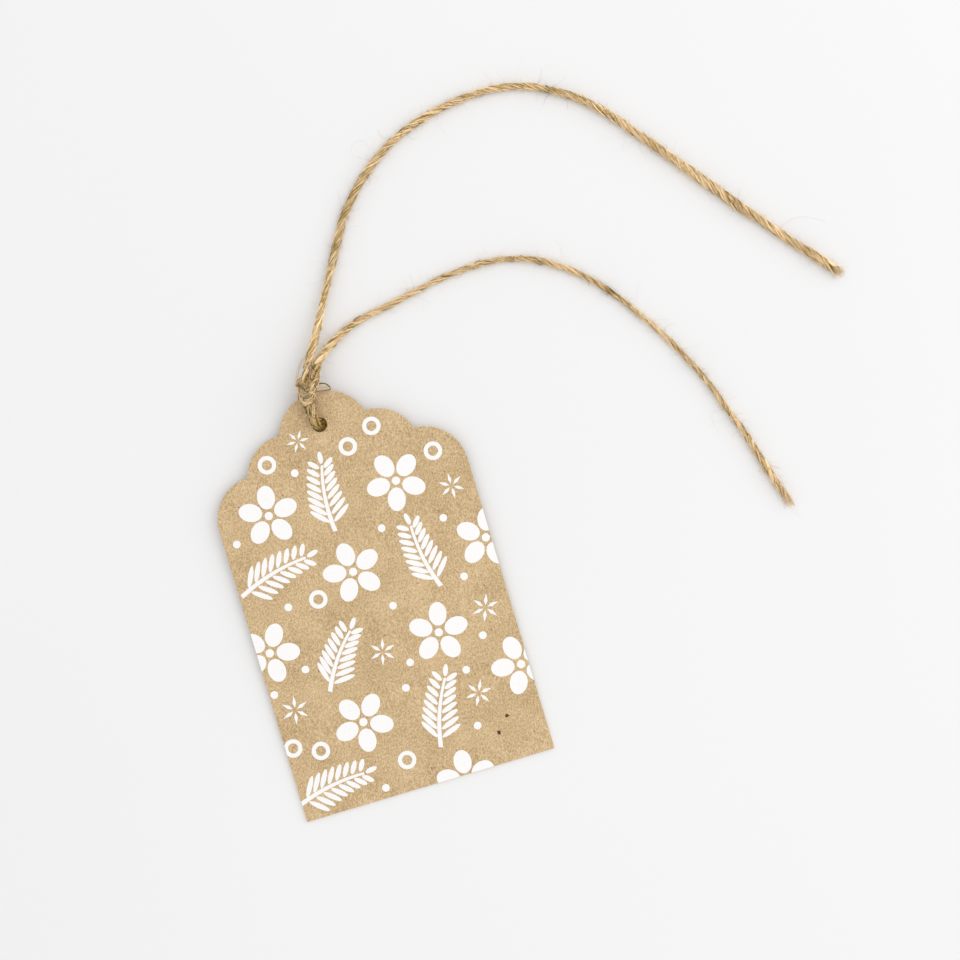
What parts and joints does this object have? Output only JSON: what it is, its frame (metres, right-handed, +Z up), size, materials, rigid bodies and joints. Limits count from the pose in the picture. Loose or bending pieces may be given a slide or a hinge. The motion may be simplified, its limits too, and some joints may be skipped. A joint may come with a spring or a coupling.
{
  "type": "gift tag",
  "caption": "Kraft gift tag with a scalloped head and a punched hole, threaded with a knotted loop of jute twine whose loose tails tie it to a gift.",
  "frame": {"origin": "on the table, under the middle of the card's box", "axes": "+Y towards the scalloped head with the hole, +Z up out of the printed face, +X to the right of the printed face"},
  "size_m": [0.1301, 0.1269, 0.0054],
  "materials": {
    "kraft_board": "matte",
    "jute_twine": "matte"
  },
  "bodies": {
    "card": {"tag_card": "kraft_board"},
    "twine": {"knotted_loop": "jute_twine", "long_tail": "jute_twine", "short_tail": "jute_twine"}
  },
  "joints": [
    {"name": "twine_swivel", "type": "hinge", "parent": "card", "child": "twine", "pos_m": [-0.0005, 0.03334, 0.00175], "axis": [0, 0, 1], "range_deg": [-40, 25]}
  ]
}
